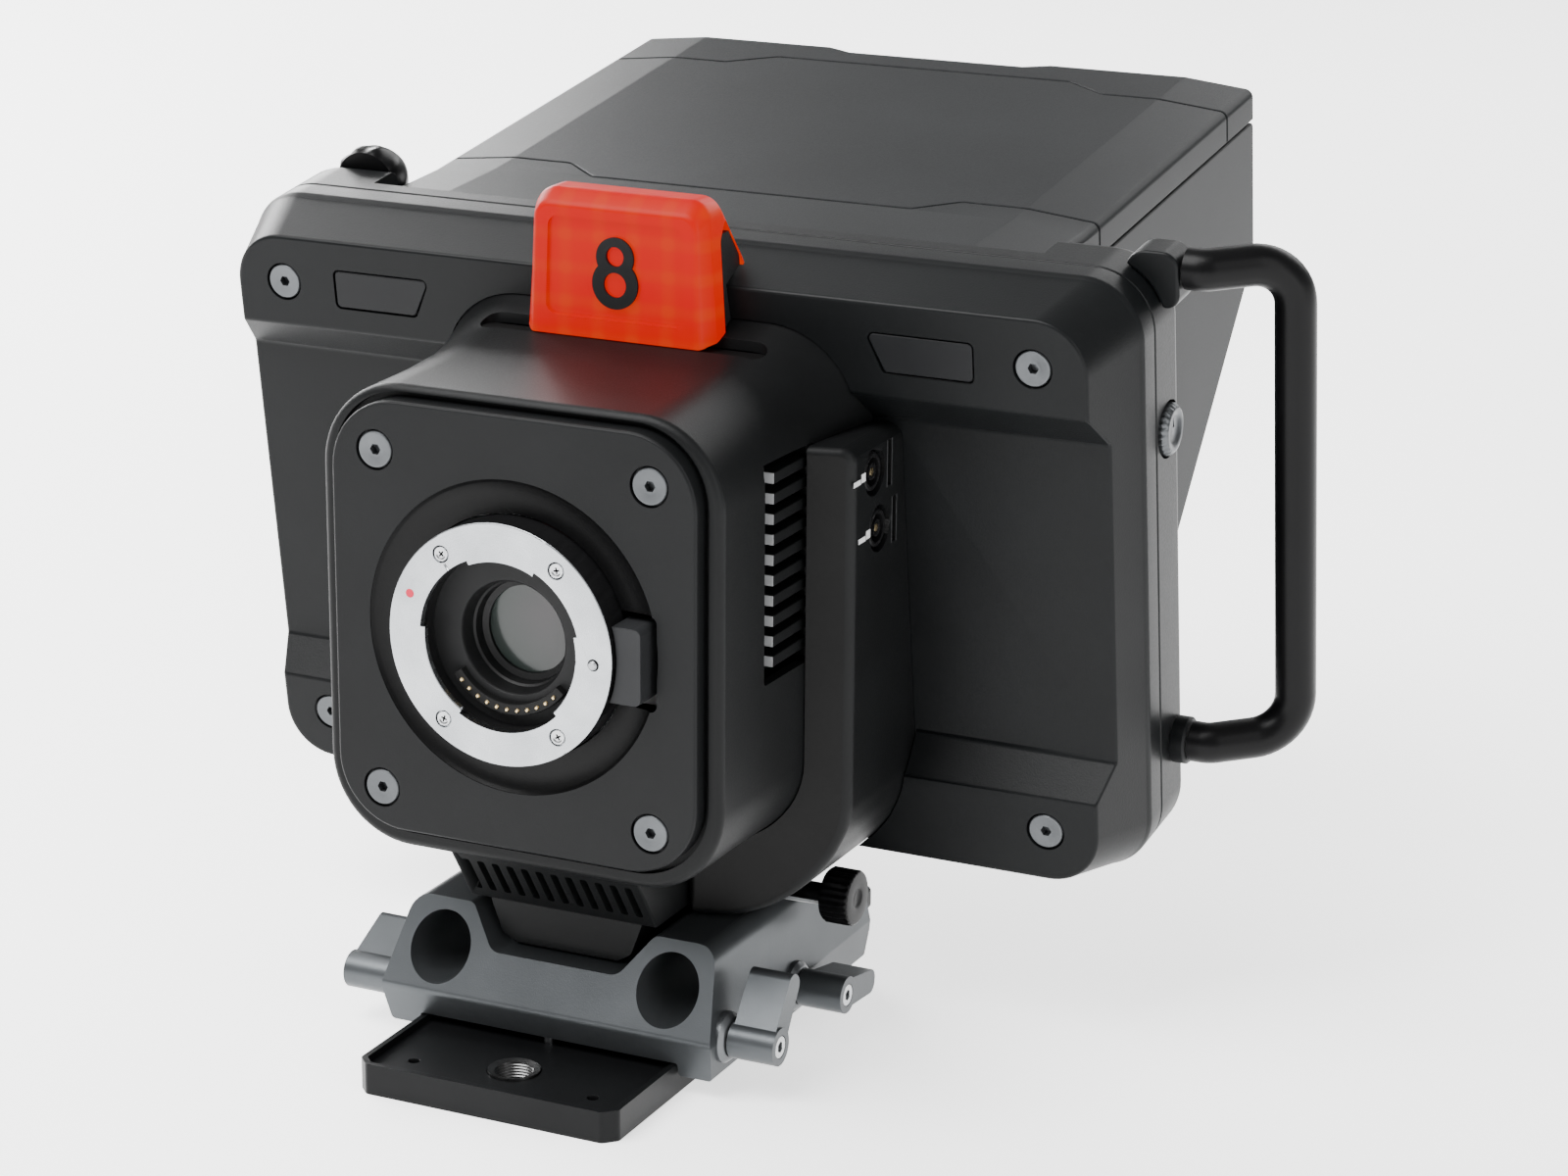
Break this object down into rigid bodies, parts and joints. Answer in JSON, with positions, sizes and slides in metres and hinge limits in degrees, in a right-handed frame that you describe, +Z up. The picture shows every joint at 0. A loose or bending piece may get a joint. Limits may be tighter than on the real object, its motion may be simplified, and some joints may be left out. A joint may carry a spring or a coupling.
{
  "type": "cinema camera rig",
  "caption": "Studio cinema camera with a round lens mount, tilted rear monitor, folding sun hood, tally light, side handle and rod base on a sliding tripod plate.",
  "frame": {"origin": "centre line of the tripod plate's bottom face, 50 mm behind the lens mount's front face", "axes": "+Z up, -Y the way the lens points, +X the handle's side"},
  "size_m": [0.2647, 0.2601, 0.2057],
  "materials": {
    "body_black": "matte dark charcoal",
    "housing_black": "satin dark charcoal",
    "base_grey": "dark anodised",
    "bright_metal": "turned bright metal",
    "screw_steel": "plain steel",
    "throat_black": "anti-reflection black",
    "sensor_glass": "coated filter glass",
    "board_green": "circuit board",
    "alloy": "plain alloy",
    "tally_red": "translucent red lens, lit from behind",
    "print_black": "printed digit",
    "screen_glass": "cover glass of the display",
    "rubber_black": "satin black",
    "window_grey": "dark grey",
    "brass": "plain"
  },
  "bodies": {
    "rig": {"body_shell": "body_black", "front_plate": "body_black", "front_plate_screw_1": "screw_steel", "front_plate_screw_2": "screw_steel", "front_plate_screw_3": "screw_steel", "front_plate_screw_4": "screw_steel", "mount_ring": "bright_metal", "mount_throat": "throat_black", "contact_block": "throat_black", "sensor_glass": "sensor_glass", "sensor_board": "board_green", "heat_sink": "alloy", "main_board": "board_green", "fan_frame": "rubber_black", "side_vent_right": "body_black", "side_vent_left": "body_black", "port_block": "body_black", "video_jack_1": "bright_metal", "video_jack_2": "bright_metal", "neck_vent": "body_black", "camera_shoe": "base_grey", "base_chassis": "base_grey", "monitor_front_shell": "housing_black", "monitor_rear_bezel": "housing_black", "monitor_screw_1": "screw_steel", "monitor_screw_2": "screw_steel", "monitor_screw_3": "screw_steel", "monitor_screw_4": "screw_steel", "window_left": "window_grey", "window_right": "window_grey", "lcd_panel": "alloy", "screen_glass": "screen_glass", "hood_frame": "housing_black", "hood_top_panel": "housing_black", "hood_rear_strip": "housing_black", "tally_base": "rubber_black", "tally_led_board": "board_green", "tally_lens": "tally_red", "tally_number": "print_black", "handle_tube": "rubber_black", "handle_clamp_top": "housing_black", "handle_clamp_bottom": "housing_black"},
    "lens_release": {"lens_release_button": "window_grey"},
    "lock_pin": {"lens_lock_pin": "screw_steel"},
    "fan": {"fan_rotor": "rubber_black"},
    "dial": {"monitor_dial": "bright_metal"},
    "hood_knob": {"hood_lock_knob": "rubber_black"},
    "hood_left": {"hood_side_left": "housing_black"},
    "hood_right": {"hood_side_right": "housing_black"},
    "button_1": {"rear_button_1": "window_grey"},
    "button_2": {"rear_button_2": "window_grey"},
    "button_3": {"rear_button_3": "window_grey"},
    "button_4": {"rear_button_4": "window_grey"},
    "lever_front_right": {"wing_lever_front_right": "base_grey"},
    "lever_rear_right": {"wing_lever_rear_right": "base_grey"},
    "lever_front_left": {"wing_lever_front_left": "base_grey"},
    "shoe_knob": {"shoe_lock_knob": "rubber_black"},
    "plate": {"tripod_plate": "base_grey", "thread_insert": "brass"},
    "release_tab": {"plate_release_tab": "rubber_black"}
  },
  "joints": [
    {"name": "lens_release_press", "type": "slide", "parent": "rig", "child": "lens_release", "axis": [0, 1, 0], "range_m": [0, 0.002], "stiffness_N_per_m": 600},
    {"name": "lock_pin_slide", "type": "slide", "parent": "rig", "child": "lock_pin", "axis": [0, 1, 0], "range_m": [0, 0.002]},
    {"name": "fan_spin", "type": "hinge", "parent": "rig", "child": "fan", "pos_m": [0, 0.0058, 0.1226], "axis": [0, 1, 0], "continuous": true},
    {"name": "dial_turn", "type": "hinge", "parent": "rig", "child": "dial", "pos_m": [0.117, 0.05665, 0.14844], "axis": [1, 0, 0], "continuous": true},
    {"name": "hood_knob_turn", "type": "hinge", "parent": "rig", "child": "hood_knob", "pos_m": [-0.0982, 0.05943, 0.18517], "axis": [0, 0.9905, 0.1374], "range_deg": [-180, 180]},
    {"name": "hood_left_fold", "type": "hinge", "parent": "rig", "child": "hood_left", "pos_m": [-0.0871, 0.08926, 0.11712], "axis": [0, -0.1374, 0.9905], "range_deg": [-88, 0]},
    {"name": "hood_right_fold", "type": "hinge", "parent": "rig", "child": "hood_right", "pos_m": [0.0871, 0.0952, 0.11795], "axis": [0, -0.1374, 0.9905], "range_deg": [0, 88]},
    {"name": "button_1_press", "type": "slide", "parent": "rig", "child": "button_1", "axis": [0, -0.9905, -0.1374], "range_m": [0, 0.0012], "stiffness_N_per_m": 400},
    {"name": "button_2_press", "type": "slide", "parent": "rig", "child": "button_2", "axis": [0, -0.9905, -0.1374], "range_m": [0, 0.0012], "stiffness_N_per_m": 400},
    {"name": "button_3_press", "type": "slide", "parent": "rig", "child": "button_3", "axis": [0, -0.9905, -0.1374], "range_m": [0, 0.0012], "stiffness_N_per_m": 400},
    {"name": "button_4_press", "type": "slide", "parent": "rig", "child": "button_4", "axis": [0, -0.9905, -0.1374], "range_m": [0, 0.0012], "stiffness_N_per_m": 400},
    {"name": "lever_front_right_turn", "type": "hinge", "parent": "rig", "child": "lever_front_right", "pos_m": [0.0512, -0.0228, 0.0138], "axis": [1, 0, 0], "range_deg": [-55, 55]},
    {"name": "lever_rear_right_turn", "type": "hinge", "parent": "rig", "child": "lever_rear_right", "pos_m": [0.0512, 0.0144, 0.0127], "axis": [1, 0, 0], "range_deg": [-15, 45]},
    {"name": "lever_front_left_turn", "type": "hinge", "parent": "rig", "child": "lever_front_left", "pos_m": [-0.0512, -0.0224, 0.0124], "axis": [1, 0, 0], "range_deg": [-40, 80]},
    {"name": "shoe_knob_turn", "type": "hinge", "parent": "rig", "child": "shoe_knob", "pos_m": [0.0464, 0.026, 0.0326], "axis": [1, 0, 0], "range_deg": [-180, 180]},
    {"name": "plate_slide", "type": "slide", "parent": "rig", "child": "plate", "axis": [0, 1, 0], "range_m": [-0.01, 0.028]},
    {"name": "release_tab_press", "type": "slide", "parent": "rig", "child": "release_tab", "axis": [0, 0, 1], "range_m": [0, 0.002], "stiffness_N_per_m": 400}
  ],
  "couplings": [
    {"joint": "lock_pin_slide", "follows": "lens_release_press", "ratio": 1}
  ]
}
